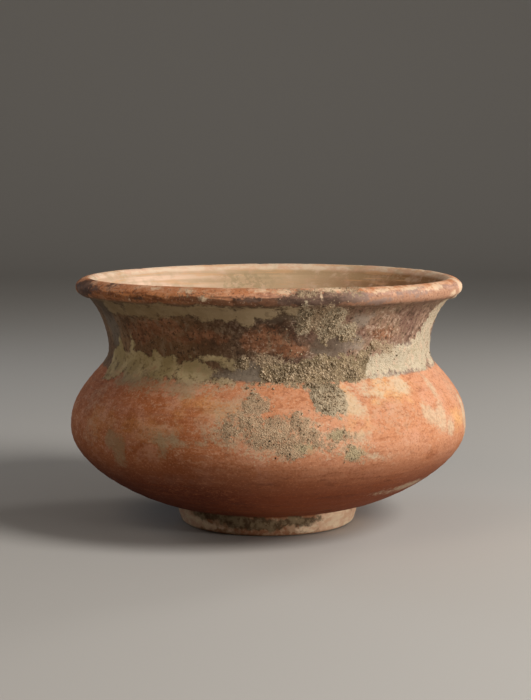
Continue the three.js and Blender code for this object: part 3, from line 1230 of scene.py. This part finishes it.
# Painted shade in the gaps between the crust's lumps.
crust_color = g.lay(crust_color, g.step(blotch, 0.47, 0.38), 0.5, CRUST_GAP_PAINTED_SHADE)
painted = g.mix(crust_mask, painted, crust_color)

# %% [markdown]
# Last come the cream flecks on the lip and a fine dust of pale grains, which is thinner low down.

# %% Flecks and dust
LIP_CREAM = (0.76, 0.57, 0.38)
DUST = (0.66, 0.53, 0.38)

painted = stained(painted, "lip_pale", 0.7, LIP_CREAM, 4.5, 0.6, 520)
dust = g.step(g.noise(where, 1100, 2, 0.6), 0.67, 0.73)
dust = g.times(dust, g.step(lowness, 0.0, 0.8, 0.3, 0.08))
painted = g.mix(dust, painted, DUST)
g.link(painted, shader.inputs["Base Color"])
print("nodes for the paints:", len(g.tree.nodes))

# %% [markdown]
# Bump gives the finest grain only, a third of a millimetre deep. Where there is soil the surface is
# dead matt, and the bare clay is a little smoother.

# %% Bump and gloss
BUMP_DEPTH = 0.35 * mm
BUMP_STRENGTH = 0.75

clay_height = g.math("MULTIPLY_ADD", sand, 0.6, g.times(mottle, 0.5))
clay_height = g.math("MULTIPLY_ADD", wiped, 0.35, clay_height)
clay_height = g.math("MULTIPLY_ADD", film_stain["Mask"], 0.35, clay_height)
gritty = g.math("MAXIMUM", crust_mask, g.times(band_mask, 0.85))
gritty = g.math("MAXIMUM", gritty, g.times(thin_mask, 0.8))
height_sum = g.math("MULTIPLY_ADD", g.times(soil["Height"], 2.4), gritty, clay_height)
bump = terracotta.node_tree.nodes.new("ShaderNodeBump")
bump.inputs["Strength"].default_value = BUMP_STRENGTH
bump.inputs["Distance"].default_value = BUMP_DEPTH
g.link(height_sum, bump.inputs["Height"])
g.link(bump.outputs["Normal"], shader.inputs["Normal"])
g.link(g.step(gritty, 0.0, 1.0, 0.7, 0.95), shader.inputs["Roughness"])
bowl.data.materials.append(terracotta)

# %% [markdown]
# ## Loose crumbs
#
# Where the crust is thick it is not one skin but crumbs stuck to each other, which catch the light one
# by one. One crumb is an icosphere pushed out of round. First the script says how likely a crumb is at
# each vertex: most where the crust is thick, some on the thin soil, few on the cream band, and a few
# strays around them.

# %% Pattern and places
CRUMBS = 7000
CRUST_TOP = 4
draw = np.random.default_rng(7)
deselect_all()
bpy.ops.mesh.primitive_ico_sphere_add(subdivisions=1, radius=1, location=(0, 0, 0))
pattern = bpy.context.object
crumb_points = np.array([v.co[:] for v in pattern.data.vertices])
crumb_faces = np.array([p.vertices[:] for p in pattern.data.polygons])
bpy.data.objects.remove(pattern)

thick = np.where(outside & (crust > 0.0), np.clip(crust, 0, CRUST_TOP) ** 0.5, 0)
thick = np.maximum(thick, np.where(outside & (thin > 0.5), 0.75, 0))
thick = np.maximum(thick, np.where(outside & (band > 0.6), 0.03, 0))
strays = outside & (np.maximum(crust, thin) > -3.5)
thick = np.maximum(thick, np.where(strays, 0.06, 0))
spread = 1 - GATHER * np.cos(from_front)
chance = thick * radius * np.clip(spread, 0.3, 2)
print("vertices that may carry a crumb:", int((chance > 0).sum()))

# %% [markdown]
# Then each crumb is placed, sized and turned by the draw, and sunk a little. The ones on the neck are
# the largest. All of them are one mesh, and each keeps a shade of its own.

# %% Crumbs
SIZE_SHAPE, SIZE_SCALE = 3.0, 0.095
SMALLEST, LARGEST = 0.14, 0.8
NECK_FROM, NECK_TO = 86, 128
SLIDE = 0.45
SUNK = 0.35

chosen = draw.choice(count, size=CRUMBS, replace=True, p=chance / chance.sum())
sizes = draw.gamma(SIZE_SHAPE, SIZE_SCALE, CRUMBS).clip(SMALLEST, LARGEST)
neck_band = (height[chosen] > NECK_FROM) & (height[chosen] < NECK_TO)
sizes = sizes * np.where(neck_band, 1.25, 0.9) * np.where(crust[chosen] + thin[chosen] > -6, 1, 0.7)
along_normal = np.stack([normal_r * np.cos(angle), normal_r * np.sin(angle), normal_z], 1)
slide = draw.normal(0, SLIDE, (CRUMBS, 3))
centres = new[chosen] + slide - along_normal[chosen] * (sizes * SUNK)[:, None]
all_points, all_faces, shades = [], [], []
for centre, size in zip(centres, sizes):
    turned = draw.normal(0, 1, (3, 3))
    turned, _ = np.linalg.qr(turned)
    if np.linalg.det(turned) < 0:
        turned[:, 0] *= -1
    shape = crumb_points * draw.uniform(0.65, 1.25, (len(crumb_points), 1)) * size
    all_faces.append(crumb_faces + len(all_points) * len(crumb_points))
    all_points.append(shape @ turned.T + centre)
    shades.append(np.full(len(crumb_points), draw.uniform(0, 1)))
crumb_mesh = bpy.data.meshes.new("soil_crumbs")
crumb_vertices = np.clip(np.vstack(all_points), lowest, highest) * mm
crumb_mesh.from_pydata(crumb_vertices.tolist(), [], np.vstack(all_faces).tolist())
crumbs = add("soil_crumbs", crumb_mesh)
shade_layer = crumb_mesh.attributes.new("shade", "FLOAT", "POINT")
shade_layer.data.foreach_set("value", np.concatenate(shades).astype(np.float32))
print("crumbs:", CRUMBS, "with", len(crumb_mesh.polygons), "faces")

# %% [markdown]
# The crumbs wear the same gritty soil, and each one has a shade of its own between dark and pale.

# %% Soil material
CRUMB_SHADES = (0.11, 0.080, 0.048), (0.69, 0.54, 0.375)

loose_soil, shader = new_material("loose_soil", 0.95, 0.2)
g = Graph(loose_soil.node_tree)
soil = g.group(gritty_soil, vector=g.object_place(), grit=0.0)
own_shade = g.mix(g.attribute("shade"), *CRUMB_SHADES)
g.link(g.mix(0.55, soil["Color"], own_shade), shader.inputs["Base Color"])
crumbs.data.materials.append(loose_soil)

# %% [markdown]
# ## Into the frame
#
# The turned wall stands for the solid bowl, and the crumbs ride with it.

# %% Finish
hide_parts("bowl")
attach(bowl, "root")
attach(crumbs, "root")
